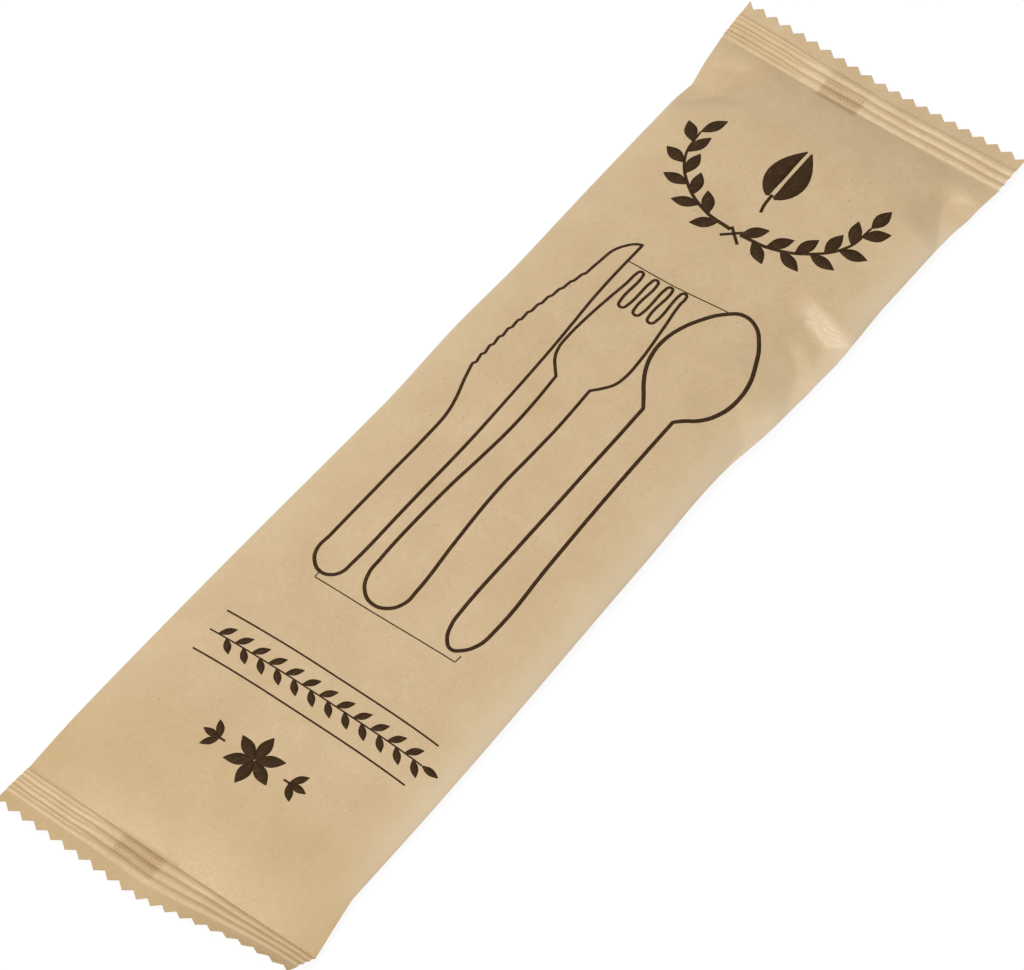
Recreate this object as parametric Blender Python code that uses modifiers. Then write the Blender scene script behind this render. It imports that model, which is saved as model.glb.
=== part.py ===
"""A wooden cutlery kit as it is handed out: a kraft paper flow-wrap pack, sealed on every side.

The pack lies on its back seam, as if set down on a table. X runs along it towards its top end,
Y towards its left side and Z up. The origin is the bottom centre of its box.
"""

import math

import bmesh
import bpy

MM = 0.001

# The paper tube, pressed flat
PACK_LENGTH = 245.0 * MM
SEAL_WIDTH = 70.0 * MM
PLY = 0.12 * MM

# The end seals: cut teeth, a plain strip, then a crimped band
TOOTH_PITCH = 3.5 * MM
TOOTH_DEPTH = 1.35 * MM
CUT_MARGIN = 2.15 * MM
BAND_WIDTH = 6.6 * MM
RIB_PITCH = 2.2 * MM
RIB_HEIGHT = 0.45 * MM

# How each end seal lies: its height where it leaves the pack, and how far its corners turn up
BOTTOM_SEAL_LEVEL = 1.4 * MM
TOP_SEAL_LEVEL = 1.8 * MM
BOTTOM_LEFT_TURN = math.radians(6.0)
BOTTOM_RIGHT_TURN = math.radians(40.0)
TOP_LEFT_TURN = math.radians(11.0)
TOP_RIGHT_TURN = math.radians(2.0)
TOP_HOLLOW = 0.5 * MM  # how far the middle of the top end is drawn in

# The filled body: what the knife, fork, spoon and napkin inside push up
FILL_HEIGHT = 7.8 * MM
FULLEST_FROM_TOP = 102.0 * MM
BOTTOM_FALL = 2.7 * MM
BOTTOM_FALL_RUN = 100.0 * MM
TOP_FALL = 1.3 * MM
TOP_FALL_RUN = 70.0 * MM
SIDE_FOLD_RISE = 0.36  # height of the side folds, as a part of the height beside them
CROWN_FLATNESS = 2.6  # powers that shape the front across: flat over the cutlery, then
CROWN_FALL = 0.75  # falling to the side folds
GATHER_RUN = 22.0 * MM
BACK_RUN = 14.0 * MM
BACK_CURVE = 7.5 * MM  # strip of the back beside each side fold that lifts off the table

# How the sides are drawn in by the filling
SIDE_DRAW = 2.8 * MM
DRAW_POWER = 2.4  # a thicker filling draws the sides in faster than it rises
FLARE_RUN = 14.0 * MM
BOTTOM_DRIFT = 2.9 * MM  # how far left of its own seals the body lies near the bottom end
TOP_DRIFT = -1.3 * MM
RIGHT_BULGE = 0.7 * MM  # low bulge of the right side fold, beside the spoon's bowl
BULGE_START = 82.0 * MM  # middles of its rise and of its fall, from the top seal
BULGE_END = 45.0 * MM
BULGE_RUN = 14.0 * MM

# The back seam: two edges of the paper sealed face to face, then laid over to the left
FIN_WIDTH = 10.0 * MM
FIN_ROOT = 0.8 * MM  # from the middle line
FIN_SLEW = 2.4 * MM  # how much further left its bottom end is than its top end
FIN_GAP = 0.3 * MM
FIN_TACK = 4.0 * MM  # length at each end where the seal still holds the flap down

# Buckles in the front: start and end, each as (distance from the top seal, distance in from
# the side fold), then the widths of their two flanks and their depth
RIGHT_BUCKLES = (
    ((56.0 * MM, 0.0 * MM), (51.0 * MM, 20.0 * MM), 12.0 * MM, 6.5 * MM, 2.6 * MM),
    ((13.5 * MM, 0.0 * MM), (8.0 * MM, 12.0 * MM), 6.0 * MM, 6.0 * MM, 2.1 * MM),
    ((84.0 * MM, 0.0 * MM), (72.0 * MM, 16.0 * MM), 9.0 * MM, 8.0 * MM, 1.0 * MM),
)
LEFT_BUCKLES = (
    ((13.0 * MM, 0.0 * MM), (-1.0 * MM, 13.0 * MM), 5.5 * MM, 5.0 * MM, 1.9 * MM),
)
FOLD_DENT = 0.5  # how far a buckle lowers its side fold, as a part of its depth

# How finely the paper is divided
GATHER_STEP = 2.6 * MM
BUCKLED_STEP = 3.5 * MM  # rows of the upper half, where the front is buckled
PLAIN_STEP = 9.0 * MM  # rows of the lower half
COLUMN_CROWDING = 1.35  # power that brings columns closer to the side folds
SOFT_EDGE = math.radians(38.0)  # edges sharper than this stay sharp
CUTTER_REACH = 1.0 * MM  # how far the cutter of the slit runs out below the back

HALF_LENGTH = PACK_LENGTH / 2
SEAL_DEPTH = TOOTH_DEPTH + CUT_MARGIN + BAND_WIDTH
INNER_X = HALF_LENGTH - SEAL_DEPTH
TEETH = max(2, round(SEAL_WIDTH / TOOTH_PITCH))
RIBS = max(1, round(BAND_WIDTH / RIB_PITCH))
COLUMNS = 2 * TEETH
FIN_THICKNESS = 2 * PLY


def limited(value):
    return min(max(value, 0.0), 1.0)


def eased(value):
    """0 to 1 with level ends."""
    t = limited(value)
    return t * t * (3 - 2 * t)


def blend(first, second, share):
    return first + (second - first) * share


def from_seal(x):
    """Distance from the inner line of the nearer end seal, towards the middle."""
    return INNER_X - abs(x)


def front_opening(x):
    t = limited(from_seal(x) / GATHER_RUN)
    return 1 - (1 - t) ** 2


def back_opening(x):
    return eased(from_seal(x) / BACK_RUN)


def fill_height(x):
    fullest = INNER_X - FULLEST_FROM_TOP
    to_bottom = BOTTOM_FALL * eased((fullest - x) / BOTTOM_FALL_RUN)
    to_top = TOP_FALL * eased((x - fullest) / TOP_FALL_RUN)
    return FILL_HEIGHT - to_bottom - to_top


def side_opening(x):
    return limited(from_seal(x) / FLARE_RUN)


def middle_y(x):
    """The pack isn't quite straight: its middle line drifts to one side, half as far at the seals."""
    drift = blend(BOTTOM_DRIFT, TOP_DRIFT, 0.5 + x / PACK_LENGTH)
    return drift * (0.5 + 0.5 * side_opening(x))


def half_width(x, side):
    """Distance from the middle line to a side fold; side is 1 on the left and -1 on the right."""
    opening = side_opening(x)
    half = SEAL_WIDTH / 2 - SIDE_DRAW * opening * (fill_height(x) / FILL_HEIGHT) ** DRAW_POWER
    if side < 0:
        past_start = (x - INNER_X + BULGE_START) / BULGE_RUN
        past_end = (x - INNER_X + BULGE_END) / BULGE_RUN
        half += RIGHT_BULGE * opening * (eased(0.5 + past_start) - eased(0.5 + past_end))
    return half


def seal_turn(x, across):
    """Angle by which an end seal turns up at this share of its half width."""
    if x < 0:
        corner = BOTTOM_LEFT_TURN if across > 0 else BOTTOM_RIGHT_TURN
    else:
        corner = TOP_LEFT_TURN if across > 0 else TOP_RIGHT_TURN
    return corner * math.sin(math.pi / 2 * abs(across))


def seal_level(x):
    return BOTTOM_SEAL_LEVEL if x < 0 else TOP_SEAL_LEVEL


def buckle_depth(x, in_from_fold, buckles):
    """How far the front is pushed in by the V-shaped buckles that start at one side fold."""
    depth = 0.0
    for start, end, low_flank, high_flank, deepest in buckles:
        run_x = start[0] - end[0]
        run_y = end[1] - start[1]
        length = math.hypot(run_x, run_y)
        ahead = x - (INNER_X - start[0])
        inward = in_from_fold - start[1]
        along = (ahead * run_x + inward * run_y) / length
        beside = (ahead * run_y - inward * run_x) / length
        flank = high_flank if beside > 0 else low_flank
        fade = limited(1.6 * (1 - along / length)) * eased(1 + 3 * along / length)
        depth += deepest * limited(1 - abs(beside) / flank) * fade
    return depth


def fin_root_y(x):
    return FIN_ROOT - FIN_SLEW * x / PACK_LENGTH


def fin_share(x, y):
    """1 over the flap of the back seam and 0 beside it."""
    over = min(y - fin_root_y(x), fin_root_y(x) + FIN_WIDTH - y)
    return eased(0.5 + over / (4 * PLY))


def crimp(from_tips):
    """Height of the ribs that the sealing jaws press into the band."""
    into_band = (from_tips - TOOTH_DEPTH - CUT_MARGIN) / BAND_WIDTH
    if not 0 <= into_band <= 1:
        return 0.0
    return RIB_HEIGHT * (0.5 - 0.5 * math.cos(2 * math.pi * RIBS * into_band))


def paper_heights(x, across):
    """Heights of the front and the back inside the seals; across runs from -1 to 1."""
    side = 1 if across > 0 else -1
    opening = front_opening(x)
    height = fill_height(x)
    fold = blend(seal_level(x), SIDE_FOLD_RISE * height, opening)
    crown = (1 - abs(across) ** CROWN_FLATNESS) ** CROWN_FALL
    in_from_fold = (1 - abs(across)) * half_width(x, side)
    buckles = LEFT_BUCKLES if side > 0 else RIGHT_BUCKLES
    rise = opening * (height - fold) * crown
    rise = max(rise - buckle_depth(x, in_from_fold, buckles) * opening, 0.0)
    dent = FOLD_DENT * buckle_depth(x, 0.0, buckles) * opening
    belly = eased(in_from_fold / BACK_CURVE) * back_opening(x)
    back = (fold - dent - PLY) * (1 - belly)
    return fold + PLY + rise - dent * (1 - crown), back


def end_hollow(x, across):
    """How far a point is drawn in towards the middle where the top end sags."""
    if x < 0:
        return 0.0
    return TOP_HOLLOW * (1 - across**2) * (1 - eased(from_seal(x) / GATHER_RUN))


def paper_point(x, across, front):
    """Place of a point of the sheet, given along the flat pack and across it."""
    side = 1 if across > 0 else -1
    y = middle_y(x) + across * half_width(x, side)
    if from_seal(x) > 0:
        heights = paper_heights(x, across)
        place_x = x - end_hollow(x, across)
        if front:
            return place_x, y, heights[0]
        patch = FIN_THICKNESS * fin_share(x, y) * (1 - back_opening(x))
        return place_x, y, heights[1] - patch
    out = -from_seal(x)
    turn = seal_turn(x, across)
    z = seal_level(x) + out * math.sin(turn) + crimp(SEAL_DEPTH - out)
    place_x = math.copysign(INNER_X + out * math.cos(turn), x) - end_hollow(x, across)
    if front:
        return place_x, y, z + PLY
    return place_x, y, z - PLY - FIN_THICKNESS * fin_share(x, y)


def stations():
    """Distances along the pack of the rows of points, from the bottom end to the top end."""
    band_start = TOOTH_DEPTH + CUT_MARGIN
    end = [0.0, TOOTH_DEPTH + CUT_MARGIN / 3]
    end += [band_start + BAND_WIDTH * i / (2 * RIBS) for i in range(2 * RIBS + 1)]
    steps = math.ceil(GATHER_RUN / GATHER_STEP)
    end += [SEAL_DEPTH + GATHER_RUN * i / steps for i in range(1, steps + 1)]
    bottom = [distance - HALF_LENGTH for distance in end]
    top = [-x for x in reversed(bottom)]
    plain = math.ceil(top[0] / PLAIN_STEP)
    buckled = math.ceil(top[0] / BUCKLED_STEP)
    lower = [bottom[-1] * (1 - i / plain) for i in range(1, plain)]
    upper = [top[0] * i / buckled for i in range(buckled)]
    return bottom + lower + upper + top


def column_share(column, x):
    """Place of a column across the pack: even in the seals, closer to the side folds between."""
    share = 2 * column / COLUMNS - 1
    close = 1 - (1 - abs(share)) ** COLUMN_CROWDING
    return math.copysign(blend(abs(share), close, eased(from_seal(x) / GATHER_RUN)), share)


def kraft_paper():
    material = bpy.data.materials.new("kraft_paper")
    material.use_nodes = True
    shader = material.node_tree.nodes["Principled BSDF"]
    shader.inputs["Base Color"].default_value = (0.64, 0.46, 0.25, 1)
    shader.inputs["Roughness"].default_value = 0.8
    shader.inputs["Metallic"].default_value = 0.0
    return material


def new_object(name, bm, collection):
    mesh = bpy.data.meshes.new(name)
    bm.to_mesh(mesh)
    bm.free()
    obj = bpy.data.objects.new(name, mesh)
    collection.objects.link(obj)
    return obj


def make_pack(collection):
    """The sheet as a grid with a second layer: the front above and the back below."""
    rows = stations()
    bm = bmesh.new()
    bmesh.ops.create_grid(bm, x_segments=COLUMNS, y_segments=len(rows) - 1, size=1)
    back_verts = sorted(bm.verts, key=lambda v: (round(v.co.y, 6), round(v.co.x, 6)))
    place = {v: divmod(i, COLUMNS + 1) for i, v in enumerate(back_verts)}
    layer = bmesh.ops.extrude_face_region(bm, geom=bm.faces[:], use_keep_orig=True)
    front_verts = [item for item in layer["geom"] if isinstance(item, bmesh.types.BMVert)]
    bmesh.ops.translate(bm, verts=front_verts, vec=(0, 0, 1))
    front_verts.sort(key=lambda v: (round(v.co.y, 6), round(v.co.x, 6)))
    place |= {v: divmod(i, COLUMNS + 1) for i, v in enumerate(front_verts)}
    for v, (row, column) in place.items():
        x = rows[row]
        if row in (0, len(rows) - 1) and column % 2:
            x -= math.copysign(TOOTH_DEPTH, x)
        v.co = paper_point(x, column_share(column, x), v.co.z > 0.5)
    bmesh.ops.recalc_face_normals(bm, faces=bm.faces)
    pack = new_object("sealed_kraft_pack", bm, collection)
    pack.data.materials.append(kraft_paper())
    pack.data.shade_smooth()
    pack.data.set_sharp_from_angle(angle=SOFT_EDGE)
    return pack


def make_fin_slit(collection):
    """The open gap between the back and the flap of the seam, L-shaped in section."""
    reach = INNER_X - FIN_TACK
    rows = [-reach] + [x for x in stations() if abs(x) < reach] + [reach]
    bm = bmesh.new()
    bmesh.ops.create_grid(bm, x_segments=2, y_segments=len(rows) - 1, size=1)
    ordered = sorted(bm.verts, key=lambda v: (round(v.co.y, 6), round(v.co.x, 6)))
    for i, v in enumerate(ordered):
        x = rows[i // 3]
        root = fin_root_y(x)
        y = root if i % 3 == 0 else root + FIN_WIDTH + FIN_GAP / 2
        back = paper_heights(x, (y - middle_y(x)) / half_width(x, 1))[1]
        z = back - CUTTER_REACH if i % 3 == 2 else back + FIN_THICKNESS + FIN_GAP / 2
        v.co = (x, y, z)
    slit = new_object("fin_slit", bm, collection)
    wall = slit.modifiers.new("Gap", "SOLIDIFY")
    wall.thickness = FIN_GAP
    wall.offset = 0
    wall.use_even_offset = True
    slit.hide_render = True
    slit.display_type = "WIRE"
    return slit


def stand_on_origin(objects, measured):
    """Moves the shapes together, so that the origin is the bottom centre of the measured one."""
    corners = [v.co for v in measured.data.vertices]
    low = [min(co[axis] for co in corners) for axis in range(3)]
    high = [max(co[axis] for co in corners) for axis in range(3)]
    shift = (-(low[0] + high[0]) / 2, -(low[1] + high[1]) / 2, -low[2])
    for obj in objects:
        obj.location = shift


def main():
    for obj in list(bpy.data.objects):
        bpy.data.objects.remove(obj, do_unlink=True)
    parts = bpy.data.collections.new("wooden_cutlery_kit")
    cutters = bpy.data.collections.new("cutters")
    bpy.context.scene.collection.children.link(parts)
    bpy.context.scene.collection.children.link(cutters)
    pack = make_pack(parts)
    slit = make_fin_slit(cutters)
    cut = pack.modifiers.new("Fin slit", "BOOLEAN")
    cut.operation = "DIFFERENCE"
    cut.solver = "EXACT"
    cut.object = slit
    stand_on_origin((pack, slit), pack)


main()
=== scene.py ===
"""Looks of a wooden cutlery kit as it is handed out: a sealed kraft paper flow-wrap pack.

The pack lies on its back seam. X runs along it towards its top end, Y towards its left side
and Z up, all in metres. The paper is one skin: front, back and the flap of the back seam.
The print is thin closed ribbons of ink that lie on the front.
"""
import math

import bpy
import numpy as np
from mathutils import Matrix, Vector


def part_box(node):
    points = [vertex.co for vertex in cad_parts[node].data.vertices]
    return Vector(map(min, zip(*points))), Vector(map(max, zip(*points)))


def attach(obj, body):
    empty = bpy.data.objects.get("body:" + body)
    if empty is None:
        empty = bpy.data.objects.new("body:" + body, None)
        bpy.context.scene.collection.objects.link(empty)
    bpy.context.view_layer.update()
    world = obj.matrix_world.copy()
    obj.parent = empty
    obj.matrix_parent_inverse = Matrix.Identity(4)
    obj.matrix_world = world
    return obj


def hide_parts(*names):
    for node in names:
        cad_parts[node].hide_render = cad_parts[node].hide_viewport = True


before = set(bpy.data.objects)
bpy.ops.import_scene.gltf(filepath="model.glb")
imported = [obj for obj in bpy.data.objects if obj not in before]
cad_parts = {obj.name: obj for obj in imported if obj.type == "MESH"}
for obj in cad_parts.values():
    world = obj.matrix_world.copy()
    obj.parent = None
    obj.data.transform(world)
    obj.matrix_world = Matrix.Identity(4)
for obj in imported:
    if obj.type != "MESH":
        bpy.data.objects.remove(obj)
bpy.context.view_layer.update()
PACK_LOW, PACK_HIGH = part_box("sealed_kraft_pack")

MM = 0.001

# The paper tube, pressed flat
PACK_LENGTH = PACK_HIGH.x - PACK_LOW.x
SEAL_WIDTH = 70.0 * MM
PLY = 0.12 * MM

# The end seals: cut teeth, a plain strip, then a crimped band
TEETH = 20
TOOTH_DEPTH = 1.35 * MM
TOOTH_FADE = 3.2 * MM  # distance from the tips over which rows straighten out again
CUT_MARGIN = 2.15 * MM
BAND_WIDTH = 6.6 * MM
RIBS = 3
RIB_HEIGHT = 0.45 * MM
GROOVE_SHARPNESS = 1.7  # above 1, the grooves between the ribs are narrower than the ribs
RIB_WAVER = 0.018  # how far the ribs waver, as a part of the band's width
WAVER_WAVES = ((9.5, 1.0, 1.0), (23.0, 0.0, 0.5))  # turns, start and strength of each slow wave
FINE_RIBS = 6
FINE_RIB_HEIGHT = 0.20 * MM
FINE_FROM = 0.38  # share of the half width beyond which the left of a seal has fine ribs
FINE_RUN = 0.2  # share of the half width over which broad ribs give way to fine ones
BROAD_UNDER_FINE = 0.35  # what is left of the broad ribs' height under the fine ones
BAND_SOFTNESS = 0.06  # soft edge of what the jaws press, as a part of the band's width

# The mark that the jaws leave over the back seam: its outer and inner line, as parts of the band
BOTTOM_PATCH = (0.27, 1.0)
TOP_PATCH = (0.55, 1.3)
PATCH_BESIDE = 0.25  # strength of the mark over the rest of the band

# How each end seal lies: its height where it leaves the pack, and how far its corners turn up
BOTTOM_SEAL_LEVEL = 1.4 * MM
TOP_SEAL_LEVEL = 1.8 * MM
BOTTOM_LEFT_TURN = math.radians(6.0)
BOTTOM_RIGHT_TURN = math.radians(40.0)
TOP_LEFT_TURN = math.radians(11.0)
TOP_RIGHT_TURN = math.radians(2.0)
TOP_HOLLOW = 0.5 * MM

# The filled body
FILL_HEIGHT = 7.8 * MM
FULLEST_FROM_TOP = 102.0 * MM
BOTTOM_FALL = 2.7 * MM
BOTTOM_FALL_RUN = 100.0 * MM
TOP_FALL = 1.3 * MM
TOP_FALL_RUN = 70.0 * MM
SIDE_FOLD_RISE = 0.36
CROWN_FLATNESS = 2.6
CROWN_FALL = 0.75
GATHER_RUN = 22.0 * MM
BACK_RUN = 14.0 * MM
BACK_CURVE = 7.5 * MM

# How the sides are drawn in by the filling
SIDE_DRAW = 2.8 * MM
DRAW_POWER = 2.4
FLARE_RUN = 14.0 * MM
BOTTOM_DRIFT = 2.9 * MM
TOP_DRIFT = -1.3 * MM
SWAY = 0.7 * MM
SWAY_MIDDLE = 95.0 * MM  # distance from the top seal at which the pack lies furthest to the left
SWAY_RUN = 24.0 * MM
RIGHT_BULGE = 0.7 * MM
BULGE_START = 82.0 * MM
BULGE_END = 45.0 * MM
BULGE_RUN = 14.0 * MM

# The back seam: two edges of the paper sealed face to face, then laid over to the left
FIN_WIDTH = 10.0 * MM
FIN_ROOT = 0.8 * MM
FIN_SLEW = 2.4 * MM
FIN_THICKNESS = 2 * PLY
FIN_LIFT_RUN = 4.0 * MM  # strip of the back that comes down to the table beside the flap
FIN_MOUTH = 0.28 * MM  # opening of the slit along the flap's free edge
FIN_CLOSED = 0.01 * MM
FIN_SOFTNESS = 4 * PLY  # strip over which the mark of the flap fades at its edges

# Buckles in the front: start and end, each as (distance from the top seal, distance in from
# the side fold), then the widths of their two flanks and their depth
RIGHT_BUCKLES = (
    ((55.0 * MM, 0.0 * MM), (50.0 * MM, 18.0 * MM), 22.0 * MM, 4.4 * MM, 2.5 * MM),
    ((65.0 * MM, 0.0 * MM), (56.5 * MM, 13.0 * MM), 12.0 * MM, 2.8 * MM, 1.0 * MM),
    ((9.4 * MM, 0.0 * MM), (7.6 * MM, 9.5 * MM), 12.0 * MM, 3.9 * MM, 3.7 * MM),
    ((84.0 * MM, 0.0 * MM), (72.0 * MM, 16.0 * MM), 10.0 * MM, 7.0 * MM, 0.9 * MM),
)
LEFT_BUCKLES = (
    ((13.5 * MM, 0.0 * MM), (0.5 * MM, 13.0 * MM), 10.0 * MM, 3.8 * MM, 4.4 * MM),
)
BUCKLE_TAPER = 2.4  # how fast a buckle fades at its inner end: at 1 it would fade all along
BUCKLE_START_TAPER = 3.0  # the same, outwards from its start
SHEEN_STRIP_WIDTH = 13.0 * MM  # strip inside each side fold where the paper's colour is lightened as a painted sheen
LEFT_SHEEN_SHARE = 0.6  # how strongly the painted sheen shows on the left strip beside the right one
BROWNER_FROM = 76.0 * MM  # beyond this the paper turns a little browner towards the bottom end
BROWNER_RUN = 28.0 * MM
END_BROWNING = 0.33
FINE_BROWNING = 0.4  # the paper is also browner where the jaws press fine ribs
FOLD_DENT = 0.3  # how far a buckle lowers its side fold, as a part of its depth
BUCKLE_SAG = 0.15  # how far below its side fold a buckle reaches, as a part of the distance from it

# Slow waves in the tight paper: (wavelength, heading in degrees, height)
COCKLES = (
    (41.0 * MM, 12, 0.075 * MM),
    (27.0 * MM, 68, 0.055 * MM),
    (19.0 * MM, 131, 0.035 * MM),
    (13.0 * MM, 35, 0.018 * MM),
)

# How finely the skin is divided
COLUMNS_PER_TOOTH = 6
COLUMN_CROWDING = 1.35  # above 1, columns crowd towards the side folds
FIN_ROOT_COLUMN = 61
FIN_EDGE_COLUMN = 78
MARGIN_STEP = 0.45 * MM
RIB_STEP = 0.18 * MM
GATHER_STEP = 0.8 * MM
BODY_STEP = 0.88 * MM
SOFT_EDGE = math.radians(38.0)

HALF_LENGTH = PACK_LENGTH / 2
SEAL_DEPTH = TOOTH_DEPTH + CUT_MARGIN + BAND_WIDTH
INNER_X = HALF_LENGTH - SEAL_DEPTH
COLUMNS = TEETH * COLUMNS_PER_TOOTH


def eased(value):
    """0 to 1 with level ends."""
    t = np.clip(value, 0, 1)
    return t * t * (3 - 2 * t)


def blend(first, second, share):
    return first + (second - first) * share


def from_seal(x):
    """Distance from the inner line of the nearer end seal, towards the middle."""
    return INNER_X - np.abs(x)


def front_opening(x):
    return 1 - (1 - np.clip(from_seal(x) / GATHER_RUN, 0, 1)) ** 2


def back_opening(x):
    return eased(from_seal(x) / BACK_RUN)


def side_opening(x):
    return np.clip(from_seal(x) / FLARE_RUN, 0, 1)


def fill_height(x):
    fullest = INNER_X - FULLEST_FROM_TOP
    to_bottom = BOTTOM_FALL * eased((fullest - x) / BOTTOM_FALL_RUN)
    to_top = TOP_FALL * eased((x - fullest) / TOP_FALL_RUN)
    return FILL_HEIGHT - to_bottom - to_top


def middle_y(x):
    """The pack isn't quite straight: it drifts to one side, half as far at its ends, and sways."""
    drift = blend(BOTTOM_DRIFT, TOP_DRIFT, 0.5 + x / PACK_LENGTH)
    sway = SWAY * eased(1 - np.abs(x - INNER_X + SWAY_MIDDLE) / SWAY_RUN)
    return drift * (0.5 + 0.5 * side_opening(x)) + sway


def half_width(x, across):
    """Distance from the middle line to the side fold on that side."""
    opening = side_opening(x)
    half = SEAL_WIDTH / 2 - SIDE_DRAW * opening * (fill_height(x) / FILL_HEIGHT) ** DRAW_POWER
    past_start = (x - INNER_X + BULGE_START) / BULGE_RUN
    past_end = (x - INNER_X + BULGE_END) / BULGE_RUN
    bulge = RIGHT_BULGE * opening * (eased(0.5 + past_start) - eased(0.5 + past_end))
    return half + np.where(across < 0, bulge, 0)


def seal_level(x):
    return np.where(x < 0, BOTTOM_SEAL_LEVEL, TOP_SEAL_LEVEL)


def seal_turn(x, across):
    """Angle by which an end seal turns up at this share of its half width."""
    bottom = np.where(across > 0, BOTTOM_LEFT_TURN, BOTTOM_RIGHT_TURN)
    top = np.where(across > 0, TOP_LEFT_TURN, TOP_RIGHT_TURN)
    return np.where(x < 0, bottom, top) * np.sin(math.pi / 2 * np.abs(across))


def buckle_depth(x, in_from_fold, buckles):
    """How far the front is pushed in by the V-shaped buckles that start at one side fold."""
    depth = np.zeros(np.broadcast(x, in_from_fold).shape)
    for start, end, low_flank, high_flank, deepest in buckles:
        run_x = start[0] - end[0]
        run_y = end[1] - start[1]
        length = math.hypot(run_x, run_y)
        ahead = x - (INNER_X - start[0])
        inward = in_from_fold - start[1]
        along = (ahead * run_x + inward * run_y) / length
        beside = (ahead * run_y - inward * run_x) / length
        flank = np.where(beside > 0, high_flank, low_flank)
        fade = np.clip(BUCKLE_TAPER * (1 - along / length), 0, 1)
        fade = fade * eased(1 + BUCKLE_START_TAPER * along / length)
        depth += deepest * np.clip(1 - np.abs(beside) / flank, 0, 1) * fade
    return depth


def buckles_at(x, across, in_from_fold):
    left = buckle_depth(x, in_from_fold, LEFT_BUCKLES)
    right = buckle_depth(x, in_from_fold, RIGHT_BUCKLES)
    return np.where(across > 0, left, right) * front_opening(x)


def cockle(x, y):
    """Height of the slow waves in the front."""
    height = np.zeros(np.broadcast(x, y).shape)
    for wavelength, heading, amount in COCKLES:
        turn = math.radians(heading)
        phase = 2 * math.pi * (x * math.cos(turn) + y * math.sin(turn)) / wavelength
        height += amount * np.sin(phase + heading)
    return height


def fin_root_y(x):
    return FIN_ROOT - FIN_SLEW * x / PACK_LENGTH


def fin_share(x, y):
    """1 over the flap of the back seam and 0 beside it."""
    over = np.minimum(y - fin_root_y(x), fin_root_y(x) + FIN_WIDTH - y)
    return eased(0.5 + over / FIN_SOFTNESS)


def into_band(x):
    """Place in the crimped band: 0 at its outer line and 1 at its inner line."""
    return (HALF_LENGTH - np.abs(x) - TOOTH_DEPTH - CUT_MARGIN) / BAND_WIDTH


def fine_share(across):
    """1 where the jaws press fine ribs and 0 where they press broad ones."""
    return eased((across - FINE_FROM) / FINE_RUN)


def crimp(x, across):
    """Height of what the sealing jaws press into the band."""
    band = into_band(x)
    inside = (band >= 0) & (band <= 1)
    fine = fine_share(across)
    waver = sum(part * np.sin(turns * across + start) for turns, start, part in WAVER_WAVES)
    band = band + RIB_WAVER * waver * np.sin(math.pi * band)
    broad_rib = 1 - (0.5 + 0.5 * np.cos(2 * math.pi * RIBS * band)) ** GROOVE_SHARPNESS
    fine_rib = 0.5 - 0.5 * np.cos(2 * math.pi * FINE_RIBS * band)
    height = blend(RIB_HEIGHT, BROAD_UNDER_FINE * RIB_HEIGHT, fine) * broad_rib
    height = height + FINE_RIB_HEIGHT * fine * fine_rib
    return np.where(inside, height, 0)


def within(value, low, high, soft):
    """1 between low and high, 0 outside, over soft edges."""
    return eased((value - low) / soft) * eased((high - value) / soft)


def in_band(x):
    """1 in the crimped band."""
    return within(into_band(x), 0, 1, BAND_SOFTNESS)


def seam_patch(x, y):
    """1 where the jaws press four plies instead of two."""
    outer = np.where(x < 0, BOTTOM_PATCH[0], TOP_PATCH[0])
    inner = np.where(x < 0, BOTTOM_PATCH[1], TOP_PATCH[1])
    mark = within(into_band(x), outer, inner, BAND_SOFTNESS)
    return fin_share(x, y) * np.maximum(mark, PATCH_BESIDE * in_band(x))


def seal_place(x, across):
    """Place along and height of the middle of an end seal."""
    out = np.maximum(-from_seal(x), 0)
    turn = seal_turn(x, across)
    place_x = np.sign(x) * (INNER_X + out * np.cos(turn))
    return place_x, seal_level(x) + out * np.sin(turn) + crimp(x, across)


def end_hollow(x, across):
    """How far a point is drawn in towards the middle where the top end sags."""
    hollow = TOP_HOLLOW * (1 - across**2) * (1 - eased(from_seal(x) / GATHER_RUN))
    return np.where(x < 0, 0, hollow)


def fold_height(x):
    return blend(seal_level(x), SIDE_FOLD_RISE * fill_height(x), front_opening(x))


def along_place(x, across):
    place = np.where(from_seal(x) > 0, x, seal_place(x, across)[0])
    return place - end_hollow(x, across)


def front_point(x, across):
    y = middle_y(x) + across * half_width(x, across)
    opening = front_opening(x)
    fold = fold_height(x)
    crown = (1 - np.abs(across) ** CROWN_FLATNESS) ** CROWN_FALL
    in_from_fold = (1 - np.abs(across)) * half_width(x, across)
    rise = opening * (fill_height(x) - fold + cockle(x, y)) * crown
    lowest = -BUCKLE_SAG * opening * in_from_fold
    rise = np.maximum(rise - buckles_at(x, across, in_from_fold), lowest)
    dent = FOLD_DENT * buckles_at(x, across, 0.0) * (1 - crown)
    z = np.where(from_seal(x) > 0, fold + rise - dent, seal_place(x, across)[1]) + PLY
    return along_place(x, across), y, z


def back_height(x, across, y):
    """Height of the underside of the back, as if it had no flap."""
    in_from_fold = (1 - np.abs(across)) * half_width(x, across)
    belly = eased(in_from_fold / BACK_CURVE) * back_opening(x)
    dent = FOLD_DENT * buckles_at(x, across, 0.0)
    in_body = (fold_height(x) - dent - PLY) * (1 - belly)
    return np.where(from_seal(x) > 0, in_body, seal_place(x, across)[1] - PLY)


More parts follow.
